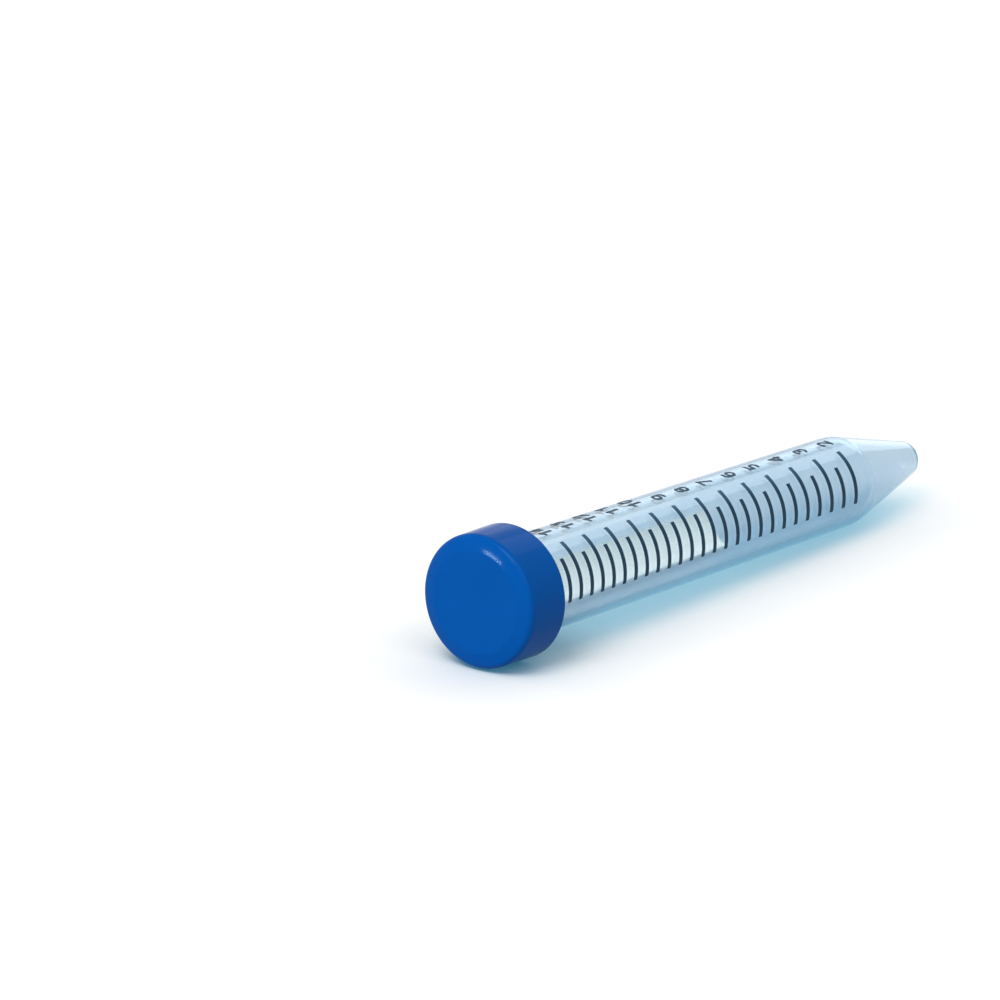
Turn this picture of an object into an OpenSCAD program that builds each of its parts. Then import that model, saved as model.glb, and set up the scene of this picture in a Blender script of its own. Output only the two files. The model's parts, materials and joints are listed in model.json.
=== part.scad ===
// 15 ml conical centrifuge tube with a screw cap, lying on its side.
// Every piece is drawn standing, tip down on z = 0 with the axis on Z, then laid down.
// Millimetres and degrees.

/* [Tube] */
// Length of the closed tube, from the tip to the cap's top
overall_l = 120; // [100:1:150]
// Outer diameter at the neck
neck_d = 17; // [16:0.1:18]
// Outer diameter at the shoulder, where the cone begins
shoulder_d = 15.7; // [14:0.1:16]
// Thickness of the body's wall
wall = 1.1; // [0.8:0.05:1.4]
// Height of the cone under the shoulder
cone_h = 20.7; // [16:0.1:26]
// Outer diameter of the cone's end, before it is rounded
tip_d = 5.6; // [4.6:0.1:7]
// Rounding of the cone's end
tip_round = 2; // [1:0.1:2.2]
// Thickness of the tip's end
tip_wall = 1; // [0.8:0.1:2]
// Diameter of the hollow's end inside the tip, before it is rounded
hollow_d = 4.4; // [3:0.1:4.5]

/* [Cap] */
// Outer diameter at the skirt's open end
cap_d = 23; // [22:0.1:26]
// Outer diameter just under the rounded top edge
cap_top_d = 22.8; // [21.6:0.1:26]
// Height of the cap
cap_h = 9.5; // [9:0.1:14]
// Rounding of the top edge
cap_round = 1.1; // [0.4:0.1:2]
// Thickness of the cap's top
cap_top_t = 1.4; // [1:0.1:2]
// Thickness of the soft disc that seals the mouth
liner_t = 1; // [0.6:0.1:1.4]
// Depth that the disc's raised middle reaches into the mouth
plug_h = 0.9; // [0.4:0.1:2]

/* [Thread] */
// Rise of the cap in one turn
pitch = 2.5; // [2.2:0.1:3]
// Turns of thread on the neck
neck_turns = 1.9; // [1:0.05:1.9]
// Turns of thread inside the cap
cap_turns = 1.5; // [0.75:0.05:1.5]
// Height of the neck's thread above the neck
thread_h = 1; // [0.6:0.05:1.1]
// Width of a thread at its foot
foot_w = 1.2; // [1:0.05:1.3]
// Width of a thread at its crest
crest_w = 0.5; // [0.4:0.05:0.7]
// Radial room between a crest and the wall that it faces
thread_gap = 0.25; // [0.15:0.05:0.4]
// Room along the axis between the flanks that press on each other
flank_gap = 0.12; // [0.05:0.01:0.3]

/* [Print] */
// Room between the scale's print and the cap above it or the cone below it
scale_room = 0.5; // [0.3:0.1:2]
// Width of a line
line_w = 0.9; // [0.3:0.05:1.1]
// Angle round the tube that a whole ml's line covers
long_arc = 72; // [40:1:90]
// Angle round the tube that a half ml's line covers
short_arc = 52; // [20:1:70]
// Height of a number
digit_h = 3; // [2:0.1:3.4]
// Width of a number's figure
digit_w = 2; // [1.4:0.1:2.2]
// Width of a figure's stroke
stroke = 0.55; // [0.3:0.05:0.7]
// Angle from a long line's end to the middle of the first figure
number_step = 22; // [16:1:30]
// Thickness of the ink
ink_t = 0.05; // [0.03:0.01:0.1]
// Length of the white patch for writing on
patch_l = 50; // [20:1:60]
// Angle round the tube that the patch covers
patch_arc = 61; // [20:1:90]
// Distance from the cap's top to the patch
patch_from_top = 22.6; // [20:0.1:30]
// Angle from the scale's lower edge round to the patch
patch_step = 105; // [100:1:150]

/* [Rest] */
// Angle from the top side, as the tube lies, down the near side to the scale's lower edge
scale_turn = 100; // [0:1:359]

/* [Hidden] */
$fn = 96;

neck_r = neck_d/2;
shoulder_r = shoulder_d/2;
cap_r = cap_d/2;
hollow_r = neck_r - wall;
// The liner is loose in the cap, so its back is just clear of the cap's top.
liner_gap = 0.05;
mouth_z = overall_l - cap_top_t - liner_gap - liner_t;
skirt_z = overall_l - cap_h;
// The body tapers from the shoulder up to here, and the neck above is straight.
neck_z = skirt_z - 0.8;
// The hollow's own shoulder sits a little higher, so that the cone's wall keeps its thickness.
hollow_shoulder_r = shoulder_r - wall - 0.03;
hollow_shoulder_z = cone_h + 0.3;
hollow_round = 1.2;
mouth_round = 0.3;

// Thread: each crest passes the wall that it faces, and the flanks that press are parallel.
neck_crest_r = neck_r + thread_h;
bore_r = neck_crest_r + thread_gap;
cap_crest_r = neck_r + thread_gap;
// Height of the middle of the neck's thread where it starts, at angle 0.
thread_z = mouth_z - 0.7 - foot_w/2 - pitch*neck_turns;
// Middle to middle, along the axis, from the neck's thread down to the cap's thread that pulls on it.
mesh_drop = foot_w - (foot_w - crest_w)*(1 + thread_gap/thread_h)/2 + flank_gap;
// Angle where the cap's thread starts, just inside the skirt.
cap_start = 360*(skirt_z + 0.4 + foot_w/2 + mesh_drop - thread_z)/pitch;
segments = 24;
sink = 0.25;
fade = 40;

// Liner and the bead that keeps it in the cap.
liner_r = bore_r - 0.15;
plug_r = hollow_r - 0.25;
bead_r = liner_r - 0.25;
bead_h = 0.5;

// How the tube lies: on the skirt's rim and the shoulder, so its axis dips towards the tip.
dip = atan((cap_r - shoulder_r)/(skirt_z - cone_h));
axis_lift = cap_r*cos(dip) - skirt_z*sin(dip);
cap_reach = (overall_l - cap_round)*cos(dip) + (cap_top_d/2 - cap_round)*sin(dip) + cap_round;
tip_reach = tip_arc_r(tip_d/2, 0, cone_h, shoulder_r, tip_round)*sin(dip)
    - tip_round*cos(dip) + tip_round;
middle_x = (tip_reach - cap_reach)/2;

// Radius of the body at a height between the shoulder and the neck.
function body_r(z) = shoulder_r + (neck_r - shoulder_r)*min(1, (z - cone_h)/(neck_z - cone_h));

// A side that leans from (r0, z0) to (r1, z1) ends in an arc: its lean, and how far out the arc's
// middle is when the arc also touches the floor at z0.
function lean(r0, z0, z1, r1) = atan((r1 - r0)/(z1 - z0));
function tip_arc_r(r0, z0, z1, r1, round) =
    r0 + round*tan(lean(r0, z0, z1, r1)) - round/cos(lean(r0, z0, z1, r1));

// Volumes are in cubic millimetres. The hollow's radius grows evenly from its shoulder to its neck,
// so a volume gives a height directly.
function frustum(r0, r1, h) = PI*h*(r0*r0 + r0*r1 + r1*r1)/3;
cone_volume = frustum(hollow_d/2, hollow_shoulder_r, hollow_shoulder_z - tip_wall);
growth = (hollow_r - hollow_shoulder_r)/(neck_z - hollow_shoulder_z);
function mark_z(ml) = hollow_shoulder_z
    + (pow(pow(hollow_shoulder_r, 3) + 3*growth*(1000*ml - cone_volume)/PI, 1/3)
        - hollow_shoulder_r)/growth;
function ml_at(z) = (cone_volume
    + PI*(pow(hollow_shoulder_r + growth*(z - hollow_shoulder_z), 3) - pow(hollow_shoulder_r, 3))
        /(3*growth))/1000;

// The scale has every half ml whose print has room between the cone and the cap.
low_ml = ceil(ml_at(cone_h + scale_room + digit_h/2));
top_half_ml = floor(2*ml_at(skirt_z - scale_room - line_w/2));
top_number = floor(ml_at(skirt_z - scale_room - digit_h/2));

// Lays a standing piece down, with its tip to the right and its zero angle on top.
module laid() {
    translate([-middle_x, 0, axis_lift]) rotate([0, dip - 90, 0]) children();
}

// Half of a pointed hollow or solid: a rounded end, a cone, a body and a straight neck.
module pointed_outline(end_r, end_z, round, side_r, side_z, top_r, top_z, height) {
    arc_r = tip_arc_r(end_r, end_z, side_z, side_r, round);
    side = lean(end_r, end_z, side_z, side_r);
    polygon([[0, end_z], [arc_r, end_z], [arc_r, end_z + round],
        [arc_r + round*cos(side), end_z + round*(1 - sin(side))],
        [side_r, side_z], [top_r, top_z], [top_r, height], [0, height]]);
    intersection() {
        translate([arc_r, end_z + round]) circle(round);
        translate([0, end_z]) square([side_r, 2*round]);
    }
}

// One ring of a thread's section, part of the way along it. Its ends fade into the wall.
function thread_ring(along, length, wall_r, crest_r, start, z) =
    let(rise = min(1, 0.05 + along/fade, 0.05 + (length - along)/fade),
        tip_r = wall_r + (crest_r - wall_r)*rise,
        root_r = wall_r - sign(crest_r - wall_r)*sink,
        crest = foot_w/2 - (foot_w - crest_w)/2*rise,
        root = foot_w/2,
        angle = start + along,
        up = z + pitch*angle/360)
    [for (p = [[root_r, -root], [tip_r, -crest], [tip_r, crest], [root_r, root]])
        [p[0]*cos(angle), p[0]*sin(angle), up + p[1]]];

// A right-hand thread that climbs from a start angle. Its middle would pass height z at angle 0.
module thread(wall_r, crest_r, turns, start, z) {
    length = 360*turns;
    steps = ceil(segments*turns);
    points = [for (i = [0:steps])
        each thread_ring(length*i/steps, length, wall_r, crest_r, start, z)];
    sides = [for (i = [0:steps - 1], j = [0:3])
        let(a = 4*i + j, b = 4*i + (j + 1)%4) each [[a, b, a + 4], [b, b + 4, a + 4]]];
    ends = [[3, 2, 1, 0], [for (j = [0:3]) 4*steps + j]];
    outward = [each sides, each ends];
    inward = [for (f = outward) [for (k = [len(f) - 1:-1:0]) f[k]]];
    polyhedron(points, crest_r > wall_r ? outward : inward);
}

module tube() {
    color([0.72, 0.84, 0.93, 0.45]) laid() {
        difference() {
            union() {
                rotate_extrude() pointed_outline(tip_d/2, 0, tip_round, shoulder_r, cone_h,
                    neck_r, neck_z, mouth_z);
                thread(neck_r, neck_crest_r, neck_turns, 0, thread_z);
            }
            rotate_extrude() pointed_outline(hollow_d/2, tip_wall, hollow_round,
                hollow_shoulder_r, hollow_shoulder_z, hollow_r, neck_z, mouth_z + 1);
            translate([0, 0, mouth_z - mouth_round])
                cylinder(h = 2*mouth_round, r1 = hollow_r, r2 = hollow_r + 2*mouth_round);
        }
    }
}

// A band of ink on the body between two heights, over an angle that starts at the scale's lower edge.
module ink_band(z0, z1, start, arc) {
    rotate([0, 0, start - scale_turn]) rotate_extrude(angle = arc)
        polygon([[body_r(z0), z0], [body_r(z0) + ink_t, z0],
            [body_r(z1) + ink_t, z1], [body_r(z1), z1]]);
}

module graduation_lines() {
    color([0.05, 0.08, 0.12]) laid() {
        for (half_ml = [2*low_ml:top_half_ml])
            ink_band(mark_z(half_ml/2) - line_w/2, mark_z(half_ml/2) + line_w/2,
                0, half_ml%2 == 0 ? long_arc : short_arc);
    }
}

// Strokes that the figures are made of. A figure stands on y = 0 with its middle on x = 0.
module bar(from, to) {
    run = to - from;
    translate(from) rotate(atan2(run[1], run[0])) translate([0, -stroke/2])
        square([norm(run), stroke]);
}

module ring(r, y) {
    translate([0, y]) difference() {
        circle(r);
        circle(r - stroke);
    }
}

// A part of a ring, over angles that run against the clock.
module bow(r, y, start, arc) {
    intersection() {
        ring(r, y);
        translate([0, y]) polygon([[0, 0],
            for (i = [0:4]) 2*r*[cos(start + arc*i/4), sin(start + arc*i/4)]]);
    }
}

module six() {
    r = digit_w/2;
    ring(r, r);
    translate([-r, r]) square([stroke, digit_h - 2*r]);
    bow(r, digit_h - r, 40, 140);
}

module figure_shape(n) {
    r = digit_w/2;
    mid = stroke/2;
    upper = 0.26*digit_h;
    lower = (digit_h + stroke)/2 - upper + 0.01;
    if (n == 0) {
        for (y = [r, digit_h - r]) bow(r, y, y == r ? 180 : 0, 180);
        for (x = [-r, r - stroke]) translate([x, r]) square([stroke, digit_h - 2*r]);
    }
    if (n == 1) {
        translate([0, 0]) square([stroke, digit_h]);
        bar([mid, digit_h - mid*1.2], [-r*0.7, digit_h*0.72]);
    }
    if (n == 2) {
        bow(r, digit_h - r, -42, 207);
        bar([(r - mid)*cos(-35), digit_h - r + (r - mid)*sin(-35)], [-r + mid, mid]);
        translate([-r, 0]) square([digit_w, stroke]);
    }
    if (n == 3) {
        bow(upper + mid/2, digit_h - upper - mid/2, -115, 275);
        bow(lower, lower, -160, 275);
    }
    if (n == 4) {
        translate([r - 1.5*stroke, 0]) square([stroke, digit_h]);
        translate([-r, digit_h*0.2]) square([digit_w, stroke]);
        bar([r - stroke, digit_h - mid/2], [-r + mid/2, digit_h*0.2 + mid]);
    }
    if (n == 5) {
        bow(r, r, -150, 275);
        translate([-r*0.85, digit_h*0.48]) square([stroke, digit_h*0.52]);
        translate([-r*0.85, digit_h - stroke]) square([digit_w*0.88, stroke]);
    }
    if (n == 6) six();
    if (n == 7) {
        translate([-r, digit_h - stroke]) square([digit_w, stroke]);
        bar([r - mid*1.1, digit_h - mid], [-r*0.35, 0]);
    }
    if (n == 8) {
        ring(upper + mid/2, digit_h - upper - mid/2);
        ring(lower, lower);
    }
    if (n == 9) translate([0, digit_h]) rotate(180) six();
}

// A number beside its line, its figures upright when the tube stands. The first figure is nearest.
module number(ml) {
    figures = ml > 9 ? [floor(ml/10), ml%10] : [ml];
    z = mark_z(ml);
    pace = digit_w*1.16/body_r(z)*180/PI;
    for (i = [0:len(figures) - 1])
        rotate([0, 0, long_arc + number_step + i*pace - scale_turn])
            translate([body_r(z) - 0.6, 0, z - digit_h/2])
                rotate([90, 0, 90]) linear_extrude(1.2) figure_shape(figures[i]);
}

module graduation_numbers() {
    color([0.05, 0.08, 0.12]) laid() intersection() {
        rotate_extrude() polygon([[shoulder_r, cone_h], [shoulder_r + ink_t, cone_h],
            [neck_r + ink_t, neck_z], [neck_r + ink_t, skirt_z], [neck_r, skirt_z], [neck_r, neck_z]]);
        for (ml = [low_ml:top_number]) number(ml);
    }
}

module writing_patch() {
    color([0.93, 0.97, 0.98]) laid()
        ink_band(overall_l - patch_from_top - patch_l, overall_l - patch_from_top,
            -patch_step - patch_arc, patch_arc);
}

module seal_liner() {
    color([0.93, 0.93, 0.9]) laid() {
        translate([0, 0, mouth_z]) cylinder(h = liner_t, r = liner_r);
        translate([0, 0, mouth_z - plug_h]) cylinder(h = plug_h + liner_t/2, r1 = plug_r - 0.3, r2 = plug_r);
    }
}

// Half of the cap's section, with the bead that holds the liner.
module cap_outline() {
    edge_r = cap_top_d/2 - cap_round;
    edge_z = overall_l - cap_round;
    inside_z = overall_l - cap_top_t;
    bead_z = mouth_z - bead_h;
    difference() {
        union() {
            polygon([[0, skirt_z], [cap_r, skirt_z], [cap_top_d/2, edge_z],
                [edge_r, edge_z], [edge_r, overall_l], [0, overall_l]]);
            translate([edge_r, edge_z]) circle(cap_round);
        }
        polygon([[0, skirt_z - 1], [bore_r, skirt_z - 1], [bore_r, bead_z],
            [bead_r, bead_z + bead_h/2], [bore_r, bead_z + bead_h], [bore_r, inside_z],
            [0, inside_z]]);
    }
}

module cap() {
    color([0, 0.33, 0.65]) laid() {
        union() {
            rotate_extrude() cap_outline();
            thread(bore_r, cap_crest_r, cap_turns, cap_start, thread_z - mesh_drop);
        }
    }
}

tube();
graduation_lines();
graduation_numbers();
writing_patch();
seal_liner();
cap();
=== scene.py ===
"""The look of a 15 ml conical centrifuge tube with a screw cap, lying on a white table.

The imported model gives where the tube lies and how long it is. The tube, the cap and the
liner are drawn again here with fine curves and real threads. The print keeps its solids.
"""

import json
import math

import bmesh
import bpy
from mathutils import Matrix, Vector

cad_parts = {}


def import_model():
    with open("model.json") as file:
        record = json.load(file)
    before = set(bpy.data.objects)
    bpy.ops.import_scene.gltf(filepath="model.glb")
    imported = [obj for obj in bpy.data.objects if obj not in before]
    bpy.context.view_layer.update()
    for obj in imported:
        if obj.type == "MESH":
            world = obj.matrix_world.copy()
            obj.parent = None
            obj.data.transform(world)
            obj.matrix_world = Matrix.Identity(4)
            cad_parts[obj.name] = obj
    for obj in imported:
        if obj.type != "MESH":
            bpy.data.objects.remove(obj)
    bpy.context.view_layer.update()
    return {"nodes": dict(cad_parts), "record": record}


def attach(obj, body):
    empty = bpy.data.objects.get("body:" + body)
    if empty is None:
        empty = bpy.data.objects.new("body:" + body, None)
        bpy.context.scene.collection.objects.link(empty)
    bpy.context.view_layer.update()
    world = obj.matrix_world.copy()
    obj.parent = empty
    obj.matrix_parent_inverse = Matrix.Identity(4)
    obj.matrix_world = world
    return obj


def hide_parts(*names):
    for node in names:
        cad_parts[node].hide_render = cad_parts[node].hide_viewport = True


MM = 0.001

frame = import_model()
nodes = frame["nodes"]

# ---------------------------------------------------------------- where the tube lies

mounts = {m["name"]: m for m in frame["record"]["mounts"]}
cap_mount = mounts["cap_top"]
axis = Vector(cap_mount["axis"]).normalized()
cap_top = Vector(cap_mount["pos_m"])
back_side = Vector((0, 1, 0))
upper_side = back_side.cross(axis).normalized()


def along_axis(node):
    """Lowest and highest place of a CAD node along the tube, from the cap's top, in mm."""
    places = [(v.co - cap_top).dot(axis) / MM for v in nodes[node].data.vertices]
    return min(places), max(places)


def widest(node):
    """Largest radius of a CAD node round the tube's axis, in mm."""
    largest = 0
    for v in nodes[node].data.vertices:
        out = v.co - cap_top
        largest = max(largest, (out - axis * out.dot(axis)).length / MM)
    return largest


tip_place, mouth_place = along_axis("tube")
overall_l = -tip_place
mouth_z = overall_l + mouth_place
skirt_z = overall_l + along_axis("cap")[0]

# Heights below are in mm from the tip along the axis, and angle 0 is the tube's upper side.
tip_point = cap_top - axis * overall_l * MM
LAID = Matrix.Translation(tip_point) @ Matrix((
    (upper_side.x, back_side.x, axis.x, 0),
    (upper_side.y, back_side.y, axis.y, 0),
    (upper_side.z, back_side.z, axis.z, 0),
    (0, 0, 0, 1))) @ Matrix.Scale(MM, 4)

# ---------------------------------------------------------------- sizes, in mm and degrees

# Steps round a turned piece, and round a pointed end.
SEGMENTS = 240
END_STEPS = 14

# The tube. HOLLOW_STEP is how much further in than the wall, and how much higher, the
# hollow's shoulder lies than the outer one.
NECK_R, NECK_DROP, NECK_ROUND = 8.5, 0.8, 2
SHOULDER_R, SHOULDER_ROUND = 7.85, 12
CONE_H = 20.7
TIP_R, TIP_ROUND = 2.8, 2.0
WALL, TIP_WALL = 1.1, 1.0
HOLLOW_TIP_R, HOLLOW_ROUND, HOLLOW_SHOULDER_ROUND = 2.2, 1.2, 10
HOLLOW_STEP = (0.03, 0.3)

# The mouth: its outer edge, its bevelled inner edge, and how many of its points are outside.
RIM_H, RIM_ROUND = 0.35, 0.25
MOUTH_H, BEVEL, BEVEL_ROUNDS = 0.9, 0.3, (0.12, 0.2)
RIM_POINTS_OUTSIDE = 4

# The cap: its face, the slopes between the three arcs of its crown, its skirt's edge, and
# the bead that keeps the liner in.
CAP_TOP_R, CAP_TOP_T = 11.4, 1.4
CROWN_R, CROWN_SOFT, CROWN_EDGE_R = 8.6, 1.2, 10.6
CROWN_SLOPES = (12, 17)
CROWN_STEPS = (5, 8, 14)
SKIRT_EDGE_H, SKIRT_ROUNDS = 0.4, (0.2, 0.25)
BEAD_H, BEAD_ROUND, BEAD_REACH = 0.5, 0.15, 0.25
ABOVE_BEAD_ROUND, INSIDE_ROUND = 0.1, 0.15

# The liner, with room round it and round its raised middle.
LINER_T, LINER_ROUND, LINER_ROOM = 1.0, 0.12, 0.15
PLUG_H, PLUG_BEVEL, PLUG_ROOM = 0.9, 0.3, 0.25
PLUG_ROUND, PLUG_CORNER_ROUND = 0.15, 0.05

# The threads. A thread reaches its full height over FADE degrees at each end, and its
# wall has THREAD_ROWS rows of points a pitch.
PITCH, NECK_TURNS, CAP_TURNS = 2.5, 1.9, 1.5
THREAD_H, FOOT_W, CREST_W = 1.0, 1.2, 0.5
THREAD_DROP, THREAD_GAP, FLANK_GAP, FADE = 0.7, 0.25, 0.12, 40
THREAD_ROWS = 22
PLAIN_UNDER_THREAD = 1

cap_r = widest("cap")
hollow_r = NECK_R - WALL
neck_z = skirt_z - NECK_DROP
neck_crest_r = NECK_R + THREAD_H
bore_r = neck_crest_r + THREAD_GAP
cap_crest_r = NECK_R + THREAD_GAP
thread_z = mouth_z - THREAD_DROP - FOOT_W / 2 - PITCH * NECK_TURNS
# The cap's thread lies this far under the tube's, with room between their flanks.
mesh_drop = FOOT_W - (FOOT_W - CREST_W) * (1 + THREAD_GAP / THREAD_H) / 2 + FLANK_GAP
cap_start = 360 * (skirt_z + SKIRT_EDGE_H + FOOT_W / 2 + mesh_drop - thread_z) / PITCH
liner_r = bore_r - LINER_ROOM
plug_r = hollow_r - PLUG_ROOM
bead_r = liner_r - BEAD_REACH

# ---------------------------------------------------------------- colours and light

WHITE = (1, 1, 1)

# Clear plastic: how blue its outer skin is, what light picks up as it enters and leaves,
# what the wall takes out, the tints of light that goes straight through, and the glossy
# bounces after which a ray counts as caught in the wall.
# The cone's outer skin is a little less blue than the body's: painted light, for the paler look
# that light gives the cone.
BODY_BLUE, CONE_BLUE = 0.87, 0.85
BLUE_FROM, BLUE_TO = CONE_H - 1, CONE_H + 1.5
CLEAR_TINT, LEAVE_TINT = (0.99, 0.995, 1.0), (0.01, 0.17, 0.36)
WALL_TINT, WALL_DENSITY = (0.6, 0.9, 0.98), 100.0
LAMP_TINT, SHADE_TINT, CAUGHT_TINT = (0.995, 1.0, 1.0), (0.58, 0.82, 0.93), (0.55, 0.78, 0.88)
CAUGHT_AFTER = 3.5

CAP_DARK, CAP_PALE = (0.0, 0.077, 0.335), (0.0, 0.081, 0.355)
SEAL_DARK, SEAL_PALE = (0.80, 0.80, 0.76), (0.84, 0.84, 0.80)

# Ink. The lines have a paler colour, a painted highlight, up to LINES_FROM degrees from the
# upper side, and their own full colour from LINES_FULL.
DARK_INK, WORN_INK, PAINTED_HIGHLIGHT_INK = (0.004, 0.030, 0.062), (0.008, 0.042, 0.082), (0.035, 0.11, 0.18)
LINES_FROM, LINES_FULL = 20, 50
DARK_INK_ROUGH = 0.45
WHITE_INK, BRIGHT_INK = (0.97, 0.97, 0.96), (0.99, 0.99, 0.98)
WHITE_INK_ROUGH = 0.6

# The table, in metres. Its seen white fades to a painted blue shade where the part lies close over
# it.
TABLE_HALF = 4.0
TABLE_DARK, TABLE_PALE = (0.56, 0.56, 0.56), (0.57, 0.57, 0.57)
TABLE_GLOW = 0.48
CONTACT_SHADE_REACH, CONTACT_SHADE_FULL, CONTACT_SHADE_COLOUR = 0.02, 0.3, (0.03, 0.24, 0.38)

# Even light for what is lit, and the backdrop for what is seen.
WORLD_LIGHT, BACKDROP_LIGHT = 0.23, 1.0

# Lamps: where each shines from, its width in degrees, and its strength.
LAMPS = (
    ("key", (-0.60, -0.10, 0.79), 32, 0.68),
    ("fill", (-0.35, -0.62, 0.70), 50, 0.27),
    ("rim", (0.89, 0.38, 0.22), 30, 0.045),
    ("top", (0.748, 0.098, 0.656), 26, 0.055),
)
# A row of narrow lamps, for the streak on the cap's crown.
STRIP_LAMPS = 4
STRIP_FROM, STRIP_TO = Vector((-0.855, 0.505, 0.120)), Vector((-0.912, 0.396, 0.090))
STRIP_WIDTH, STRIP_STRENGTH, STRIP_COLOUR = 2.4, 0.07, (0.62, 0.9, 1.0)

# The camera: its angles in degrees, its lens in mm, and its place from the cap's top, to
# the right and up in mm and back in metres.
AZIMUTH, ELEVATION = math.radians(-51.83), math.radians(17.83)
SENSOR, LENS, CLIP_END = 36, 446.7, 20
CAMERA_RIGHT, CAMERA_UP, CAMERA_BACK = 4.13, 16.9, 2.038

# ---------------------------------------------------------------- outlines


def rounded(corners, steps=6, support=0.35):
    """Points of an outline. A corner is (radius from the axis, height, rounding), and each
    straight stretch gets a point near its ends, so that a rounding doesn't shade it."""
    points = []
    for i, (r, z, rounding) in enumerate(corners):
        here = Vector((r, z))
        if rounding == 0 or i in (0, len(corners) - 1):
            points.append(here)
            continue
        before = Vector(corners[i - 1][:2]) - here
        after = Vector(corners[i + 1][:2]) - here
        reach_before, reach_after = before.length, after.length
        before.normalize()
        after.normalize()
        turn = math.pi - before.angle(after)
        cut = rounding * math.tan(turn / 2)
        middle = here + (before + after).normalized() * rounding / math.cos(turn / 2)
        if reach_before > cut + 2 * support:
            points.append(here + before * (cut + support))
        start = here + before * cut - middle
        end = here + after * cut - middle
        swing = start.angle_signed(end)
        for k in range(steps + 1):
            spun = start.copy()
            spun.rotate(Matrix.Rotation(-swing * k / steps, 2))
            points.append(middle + spun)
        if reach_after > cut + 2 * support:
            points.append(here + after * (cut + support))
    return points


def rows(start, end):
    """Points from start to end, close enough for a thread, without the first."""
    pieces = max(1, math.ceil((end - start).length / (PITCH / THREAD_ROWS)))
    return [start.lerp(end, k / pieces) for k in range(1, pieces + 1)]


def pointed(end_r, end_z, end_round, shoulder, top_r, top_z):
    """An outline from the axis round a pointed end, past its shoulder, which is a corner as
    in rounded, and past the neck, up to a height."""
    lean = math.atan((shoulder[0] - end_r) / (shoulder[1] - end_z))
    arc_r = end_r + end_round * math.tan(lean) - end_round / math.cos(lean)
    arc = [Vector((0, end_z))]
    for k in range(END_STEPS + 1):
        turn = (math.pi / 2 - lean) * k / END_STEPS
        arc.append(Vector((arc_r + end_round * math.sin(turn),
                           end_z + end_round * (1 - math.cos(turn)))))
    return arc + rounded([(*arc[-1], 0), shoulder, (top_r, neck_z, NECK_ROUND),
                          (top_r, top_z, 0)], steps=8)[1:]


def crown():
    """The cap's flat face and the three arcs that lead from it to the cap's side."""
    points = [Vector((r, overall_l)) for r in (0, CROWN_R / 2, CROWN_R)]
    first, last = (math.radians(slope) for slope in CROWN_SLOPES)
    wide = (CROWN_EDGE_R - CROWN_R - CROWN_SOFT * math.sin(first)) / (
        math.sin(last) - math.sin(first))
    edge = (CAP_TOP_R - CROWN_EDGE_R) / (1 - math.sin(last))
    slopes = (0, first, last, math.pi / 2)
    for start, end, radius, steps in zip(slopes, slopes[1:], (CROWN_SOFT, wide, edge),
                                         CROWN_STEPS):
        middle = points[-1] - radius * Vector((math.sin(start), math.cos(start)))
        for k in range(1, steps + 1):
            turn = start + (end - start) * k / steps
            points.append(middle + radius * Vector((math.sin(turn), math.cos(turn))))
    return points


# ---------------------------------------------------------------- threads and turned pieces


def ramp(x, edge, width):
    """1 under edge, 0 over edge + width, and a soft slope between them."""
    t = min(1, max(0, (x - edge) / width))
    return 1 - t * t * (3 - 2 * t)


def thread_rise(angle, z, turns, start, z_at_0):
    """How much of a thread's height there is at an angle in degrees and a height."""
    length = 360 * turns
    rise = 0
    for lap in range(-2, 4 + int(turns)):
        along = angle % 360 + 360 * lap - start
        if not 0 <= along <= length:
            continue
        full = min(1, along / FADE, (length - along) / FADE)
        off = abs(z - z_at_0 - PITCH * (along + start) / 360)
        rise = max(rise, full * ramp(off, CREST_W / 2, (FOOT_W - CREST_W) / 2))
    return rise


def threaded(wall_r, height, turns, start, z_at_0):
    """A shape for lathe: a wall's points move out by a thread, or in if its height is under 0."""
    def shape(angle, r, z):
        if abs(r - wall_r) > 1e-6:
            return r
        return r + height * thread_rise(angle, z, turns, start, z_at_0)
    return shape


def add_object(name, data):
    thing = bpy.data.objects.new(name, data)
    bpy.context.scene.collection.objects.link(thing)
    return thing


def lathe(name, outline, shape=None):
    """A turned piece, from an outline that starts and ends on the axis. shape(angle, r, z)
    gives the radius that a point moves to."""
    mesh = bmesh.new()
    rings = []
    for r, z in outline:
        if r < 1e-6:
            rings.append([mesh.verts.new((0, 0, z))])
            continue
        ring = []
        for k in range(SEGMENTS):
            angle = 360 * k / SEGMENTS
            out = shape(angle, r, z) if shape else r
            ring.append(mesh.verts.new((out * math.cos(math.radians(angle)),
                                        out * math.sin(math.radians(angle)), z)))
        rings.append(ring)
    for a, b in zip(rings, rings[1:]):
        for k in range(SEGMENTS):
            n = (k + 1) % SEGMENTS
            if len(a) == 1:
                mesh.faces.new((a[0], b[k], b[n]))
            elif len(b) == 1:
                mesh.faces.new((a[k], b[0], a[n]))
            else:
                mesh.faces.new((a[k], b[k], b[n], a[n]))
    bmesh.ops.recalc_face_normals(mesh, faces=mesh.faces)
    data = bpy.data.meshes.new(name)
    mesh.to_mesh(data)
    mesh.free()
    data.transform(LAID)
    data.polygons.foreach_set("use_smooth", [True] * len(data.polygons))
    return add_object(name, data)


# ---------------------------------------------------------------- nodes


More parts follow.
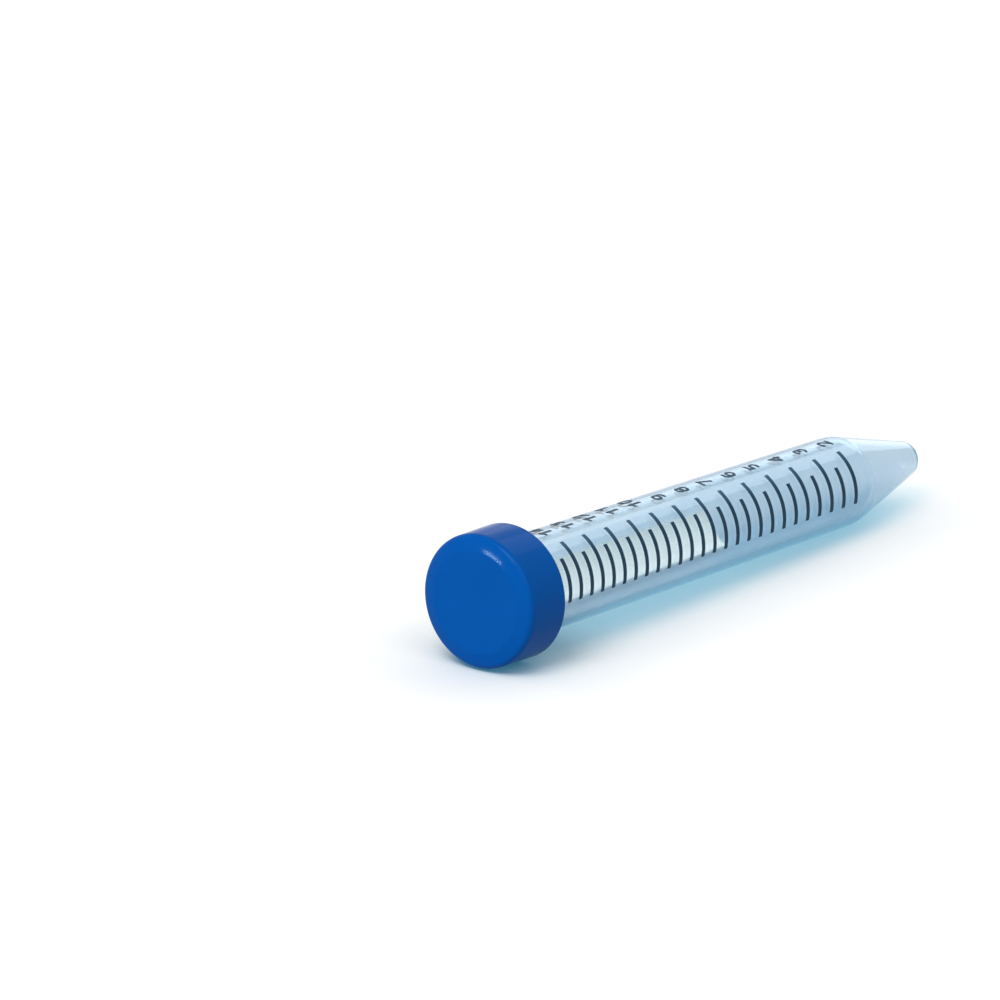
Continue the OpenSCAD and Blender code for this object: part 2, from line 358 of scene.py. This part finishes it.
class Nodes:
    """A short way to write a node tree."""

    def __init__(self, owner, output):
        owner.use_nodes = True
        self.owner = owner
        self.tree = owner.node_tree
        self.tree.nodes.clear()
        self.out = self.add(output)

    def add(self, kind, inputs=None, **settings):
        node = self.tree.nodes.new("ShaderNode" + kind)
        for key, value in settings.items():
            setattr(node, key, value)
        for key, value in (inputs or {}).items():
            self.put(node.inputs[key], value)
        return node

    def put(self, socket, value):
        """Links another node's output to a socket, or sets the socket's own value."""
        if isinstance(value, bpy.types.NodeSocket):
            self.tree.links.new(value, socket)
        else:
            socket.default_value = value

    def between(self, value, low, high, start=0.3, end=0.7):
        """From low to high as the value goes from start to end, for noise by default."""
        return self.add("MapRange", {"Value": value, "From Min": start, "From Max": end,
                                     "To Min": low, "To Max": high}).outputs[0]

    def colours(self, value, first, second):
        """The first colour where the value is 0, and the second where it is 1."""
        mix = self.add("Mix", data_type="RGBA")
        self.put(mix.inputs[0], value)
        for place, colour in ((6, first), (7, second)):
            self.put(mix.inputs[place], colour if isinstance(colour, bpy.types.NodeSocket)
                     else (*colour, 1))
        return mix.outputs[2]

    def maths(self, operation, a, b):
        return self.add("Math", {0: a, 1: b}, operation=operation).outputs[0]

    def dot(self, a, b):
        return self.add("VectorMath", {0: a, 1: b}, operation="DOT_PRODUCT").outputs["Value"]

    def finish(self, shader):
        self.put(self.out.inputs["Surface"], shader)
        return self.owner


class MaterialNodes(Nodes):
    """A material's node tree, with the place of each point and noise over it."""

    def __init__(self, name):
        super().__init__(bpy.data.materials.new(name), "OutputMaterial")
        self.place = self.add("TexCoord").outputs["Object"]

    def noise(self, scale, detail=3):
        return self.add("TexNoise", {"Vector": self.place, "Scale": scale, "Detail": detail,
                                     "Roughness": 0.5}).outputs["Fac"]

    def bump(self, height, distance, strength):
        return self.add("Bump", {"Height": height, "Distance": distance,
                                 "Strength": strength}).outputs[0]


# ---------------------------------------------------------------- materials


def clear_plastic():
    """Clear moulded plastic. Rays from lamps pass it, so that what lies in it is lit, and so do
    rays that stay caught in the wall. The outer skin is the bluer one, most of all where light
    leaves it. On the cone the skin is a little less blue: painted light, for the paler look
    that light gives the cone."""
    n = MaterialNodes("clear_plastic")
    height = n.maths("DIVIDE", n.maths("SUBTRACT", n.dot(n.place, axis), tip_point.dot(axis)), MM)
    body = n.between(height, CONE_BLUE, BODY_BLUE, BLUE_FROM, BLUE_TO)
    skin = n.add("Attribute", attribute_name="outside").outputs["Fac"]
    cloud = n.between(n.noise(160, detail=4), 0.94, 1)
    blue = n.maths("MULTIPLY", n.maths("MULTIPLY", skin, cloud), body)
    leaving = n.add("NewGeometry").outputs["Backfacing"]
    tint = n.colours(leaving, CLEAR_TINT, LEAVE_TINT)
    shader = n.add("BsdfPrincipled", {
        "Base Color": n.colours(blue, CLEAR_TINT, tint),
        "Roughness": n.between(n.noise(900, detail=2), 0.05, 0.1),
        "IOR": 1.49,
        "Transmission Weight": 1.0,
        "Normal": n.bump(n.noise(260), distance=0.00004, strength=0.5),
    }).outputs[0]
    path = n.add("LightPath")
    lamp_ray = n.maths("MAXIMUM", path.outputs["Is Shadow Ray"], path.outputs["Is Diffuse Ray"])
    caught = n.maths("GREATER_THAN", path.outputs["Glossy Depth"], CAUGHT_AFTER)
    shading = n.maths("MULTIPLY", skin, n.maths("SUBTRACT", 1, leaving))
    passing = n.colours(caught, n.colours(shading, LAMP_TINT, SHADE_TINT), CAUGHT_TINT)
    through = n.add("BsdfTransparent", {"Color": passing}).outputs[0]
    straight = n.maths("MAXIMUM", lamp_ray, caught)
    mix = n.add("MixShader", {0: straight, 1: shader, 2: through}).outputs[0]
    n.put(n.out.inputs["Volume"], n.add("VolumeAbsorption", {
        "Color": (*WALL_TINT, 1), "Density": WALL_DENSITY}).outputs[0])
    return n.finish(mix)


def blue_plastic():
    """The cap's smooth blue plastic."""
    n = MaterialNodes("blue_plastic")
    return n.finish(n.add("BsdfPrincipled", {
        "Base Color": n.colours(n.between(n.noise(120), 0, 1), CAP_DARK, CAP_PALE),
        "Roughness": n.between(n.noise(400), 0.09, 0.12),
        "Specular IOR Level": 0.03,
        "IOR": 1.5,
        "Normal": n.bump(n.noise(2600), distance=0.000004, strength=0.15),
    }).outputs[0])


def soft_plastic():
    """The liner's soft, dull plastic."""
    n = MaterialNodes("soft_plastic")
    return n.finish(n.add("BsdfPrincipled", {
        "Base Color": n.colours(n.between(n.noise(300), 0, 1), SEAL_DARK, SEAL_PALE),
        "Roughness": n.between(n.noise(700), 0.5, 0.62),
        "Normal": n.bump(n.noise(1800), distance=0.00003, strength=0.4),
    }).outputs[0])


def ink(name, dark, light, rough, painted_highlight=None):
    """Printed ink. Where a last colour is given, the ink is painted paler toward the tube's upper
    side, a painted highlight at the upper end of the lines.
    """
    n = MaterialNodes(name)
    colour = n.colours(n.between(n.noise(1500, detail=4), 0, 1), dark, light)
    if painted_highlight:
        # Painted highlight: the ink turns paler toward the tube's upper side.
        out = n.add("VectorMath", {0: n.place, 1: tip_point}, operation="SUBTRACT").outputs[0]
        angle = n.maths("ARCTAN2", n.dot(out, -back_side), n.dot(out, upper_side))
        past_highlight = n.between(angle, 0, 1, math.radians(LINES_FROM), math.radians(LINES_FULL))
        colour = n.colours(past_highlight, painted_highlight, colour)
    return n.finish(n.add("BsdfPrincipled", {
        "Base Color": colour,
        "Roughness": n.between(n.noise(2400), rough - 0.08, rough + 0.08),
        "Specular IOR Level": 0.15,
        "Normal": n.bump(n.noise(5000), distance=0.000015, strength=0.5),
    }).outputs[0])


# ---------------------------------------------------------------- pieces


def tube():
    """The moulded body, with its outer side, its thread, its mouth and its hollow in one skin."""
    rim_z = mouth_z - RIM_H
    outer = pointed(TIP_R, 0, TIP_ROUND, (SHOULDER_R, CONE_H, SHOULDER_ROUND),
                    NECK_R, thread_z - PLAIN_UNDER_THREAD)
    outer += rows(outer[-1], Vector((NECK_R, rim_z)))
    rim = rounded([(NECK_R, rim_z, 0), (NECK_R, mouth_z, RIM_ROUND),
                   (hollow_r + BEVEL, mouth_z, BEVEL_ROUNDS[0]),
                   (hollow_r, mouth_z - BEVEL, BEVEL_ROUNDS[1]),
                   (hollow_r, mouth_z - MOUTH_H, 0)], steps=5, support=0.05)[1:]
    hollow = pointed(HOLLOW_TIP_R, TIP_WALL, HOLLOW_ROUND,
                     (SHOULDER_R - WALL - HOLLOW_STEP[0], CONE_H + HOLLOW_STEP[1],
                      HOLLOW_SHOULDER_ROUND), hollow_r, mouth_z - MOUTH_H)
    piece = lathe("clear_tube", outer + rim + hollow[::-1][1:],
                  threaded(NECK_R, THREAD_H, NECK_TURNS, 0, thread_z))
    last_outside = (len(outer) + RIM_POINTS_OUTSIDE) * SEGMENTS
    skin = piece.data.attributes.new("outside", "FLOAT", "POINT")
    skin.data.foreach_set("value", [1.0 if v.index <= last_outside else 0.0
                                    for v in piece.data.vertices])
    piece.data.materials.append(clear_plastic())
    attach(piece, "tube_body")
    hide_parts("tube")


def cap():
    """The screw cap: a smooth skirt, a soft crown, a thread inside and a bead for the liner."""
    inside_z = overall_l - CAP_TOP_T
    bead_z = mouth_z - BEAD_H
    thread_from = Vector((bore_r, skirt_z + SKIRT_EDGE_H))
    face = crown()
    side = rounded([(*face[-1], 0), (cap_r, skirt_z, SKIRT_ROUNDS[0]),
                    (bore_r, skirt_z, SKIRT_ROUNDS[1]), (*thread_from, 0)],
                   steps=5, support=0.08)[1:]
    inside = rounded([(bore_r, bead_z, 0), (bead_r, bead_z + BEAD_H / 2, BEAD_ROUND),
                      (bore_r, bead_z + BEAD_H, ABOVE_BEAD_ROUND),
                      (bore_r, inside_z, INSIDE_ROUND), (0, inside_z, 0)],
                     steps=4, support=0.05)[1:]
    piece = lathe("screw_cap", face + side + rows(thread_from, Vector((bore_r, bead_z))) + inside,
                  threaded(bore_r, cap_crest_r - bore_r, CAP_TURNS, cap_start,
                           thread_z - mesh_drop))
    piece.data.materials.append(blue_plastic())
    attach(piece, "cap_body")
    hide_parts("cap")


def liner():
    """The loose soft disc that the cap presses on the mouth."""
    plug_z, top_z = mouth_z - PLUG_H, mouth_z + LINER_T
    piece = lathe("soft_liner", rounded([
        (0, plug_z, 0), (plug_r - PLUG_BEVEL, plug_z, PLUG_ROUND),
        (plug_r, mouth_z, PLUG_CORNER_ROUND), (liner_r, mouth_z, LINER_ROUND),
        (liner_r, top_z, LINER_ROUND), (0, top_z, 0)], steps=4, support=0.06))
    piece.data.materials.append(soft_plastic())
    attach(piece, "liner_body")
    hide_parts("seal_liner")


def dress(node, material):
    """Puts a material on a CAD node that is shown as it is."""
    data = nodes[node].data
    data.materials.clear()
    data.materials.append(material)


tube()
cap()
liner()
dress("graduation_lines", ink("line_ink", DARK_INK, WORN_INK, DARK_INK_ROUGH, painted_highlight=PAINTED_HIGHLIGHT_INK))
dress("graduation_numbers", ink("number_ink", DARK_INK, WORN_INK, DARK_INK_ROUGH))
dress("writing_patch", ink("white_ink", WHITE_INK, BRIGHT_INK, WHITE_INK_ROUGH))

# ---------------------------------------------------------------- table, light and camera


def seen_rays(n):
    """1 for rays from the camera, and for those that metal or glass sends on."""
    path = n.add("LightPath")
    seen = n.maths("MAXIMUM", path.outputs["Is Camera Ray"], path.outputs["Is Glossy Ray"])
    return n.maths("MAXIMUM", seen, path.outputs["Is Transmission Ray"])


def table():
    """A plain table, whose white for what is seen comes from its own glow, with a painted shade in
    that glow where the part lies close over it.
    """
    data = bpy.data.meshes.new("table")
    data.from_pydata([(-TABLE_HALF, -TABLE_HALF, 0), (TABLE_HALF, -TABLE_HALF, 0),
                      (TABLE_HALF, TABLE_HALF, 0), (-TABLE_HALF, TABLE_HALF, 0)],
                     [], [(0, 1, 2, 3)])
    piece = add_object("table", data)
    n = MaterialNodes("table_white")
    paper = n.colours(n.between(n.noise(40), 0, 1), TABLE_DARK, TABLE_PALE)
    diffuse = n.add("BsdfDiffuse", {"Color": paper}).outputs[0]
    # Painted shade: the glow turns blue and darker where ambient occlusion finds the part close
    # above.
    occlusion = n.add("AmbientOcclusion", {"Distance": CONTACT_SHADE_REACH}, samples=8).outputs["AO"]
    open_sky = n.between(occlusion, 0, 1, CONTACT_SHADE_FULL, 1)
    glow = n.add("Emission", {"Color": n.colours(open_sky, CONTACT_SHADE_COLOUR, WHITE),
                              "Strength": n.maths("MULTIPLY", seen_rays(n), TABLE_GLOW)}).outputs[0]
    piece.data.materials.append(n.finish(n.add("AddShader", {0: diffuse, 1: glow}).outputs[0]))


def world():
    """Even light for what is lit, and a white backdrop for what is seen."""
    studio = bpy.data.worlds.new("studio")
    bpy.context.scene.world = studio
    n = Nodes(studio, "OutputWorld")
    lit, backdrop = (n.add("Background", {"Color": (*WHITE, 1), "Strength": strength}).outputs[0]
                     for strength in (WORLD_LIGHT, BACKDROP_LIGHT))
    n.finish(n.add("MixShader", {0: seen_rays(n), 1: lit, 2: backdrop}).outputs[0])


def lamp(name, direction, width, strength, colour=WHITE):
    """A far lamp. strength is how bright it makes a white surface that it shines straight on."""
    light = bpy.data.lights.new(name, "SUN")
    light.angle = math.radians(width)
    light.energy = strength * math.pi
    light.color = colour
    thing = add_object(name, light)
    thing.rotation_mode = "QUATERNION"
    thing.rotation_quaternion = Vector(direction).to_track_quat("Z", "Y")


def camera():
    """A long lens that looks down on the part from beyond its cap."""
    back = Vector((math.sin(AZIMUTH) * math.cos(ELEVATION),
                   -math.cos(AZIMUTH) * math.cos(ELEVATION), math.sin(ELEVATION)))
    right = Vector((math.cos(AZIMUTH), math.sin(AZIMUTH), 0))
    up = back.cross(right)
    data = bpy.data.cameras.new("camera")
    data.sensor_width = SENSOR
    data.lens = LENS
    data.clip_end = CLIP_END
    thing = add_object("camera", data)
    thing.location = (cap_top + right * CAMERA_RIGHT * MM + up * CAMERA_UP * MM
                      + back * CAMERA_BACK)
    thing.rotation_mode = "QUATERNION"
    thing.rotation_quaternion = (-back).to_track_quat("-Z", "Y")
    bpy.context.scene.camera = thing
    bpy.context.scene.view_settings.view_transform = "Standard"


table()
world()
for settings in LAMPS:
    lamp(*settings)
for k in range(STRIP_LAMPS):
    lamp(f"strip_{k}", STRIP_FROM.lerp(STRIP_TO, k / (STRIP_LAMPS - 1)), STRIP_WIDTH,
         STRIP_STRENGTH, STRIP_COLOUR)
camera()
